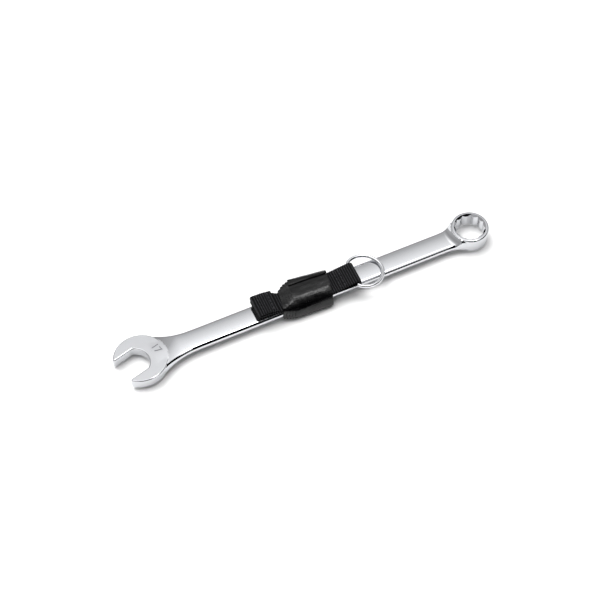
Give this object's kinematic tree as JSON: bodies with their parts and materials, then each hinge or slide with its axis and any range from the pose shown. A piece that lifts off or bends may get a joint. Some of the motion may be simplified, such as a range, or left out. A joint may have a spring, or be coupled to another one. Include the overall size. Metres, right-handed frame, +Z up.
{
  "type": "combination spanner with tether tail",
  "caption": "Combination spanner with an open jaw and a twelve-point box end, and a taped-on webbing tail with a D-ring for a tool lanyard.",
  "frame": {"origin": "middle of the footprint, on the surface that the part stands on", "axes": "+X along the spanner from the open jaw to the box end, +Z up out of the side that carries the tail"},
  "size_m": [0.2556, 0.034, 0.0148],
  "materials": {
    "chrome_steel": "polished shank with satin head faces",
    "plated_wire": "polished",
    "black_tape": "glossy",
    "black_webbing": "ribbed weave",
    "black_thread": "twisted thread"
  },
  "bodies": {
    "spanner": {"wrench": "chrome_steel", "wrap_tape": "black_tape", "web_anchor": "black_webbing", "stop_stitching": "black_thread"},
    "tail": {"web_loop": "black_webbing", "loop_stitching": "black_thread"},
    "ring": {"d_ring": "plated_wire"}
  },
  "joints": [
    {"name": "tail_lift", "type": "hinge", "parent": "spanner", "child": "tail", "pos_m": [0.01744, -0.00052, 0.0115], "axis": [-0.0349, -0.9994, 0], "range_deg": [0, 60]},
    {"name": "ring_swing", "type": "hinge", "parent": "tail", "child": "ring", "pos_m": [0.03158, -0.00102, 0.01135], "axis": [-0.0349, -0.9994, 0], "range_deg": [0, 135]}
  ]
}
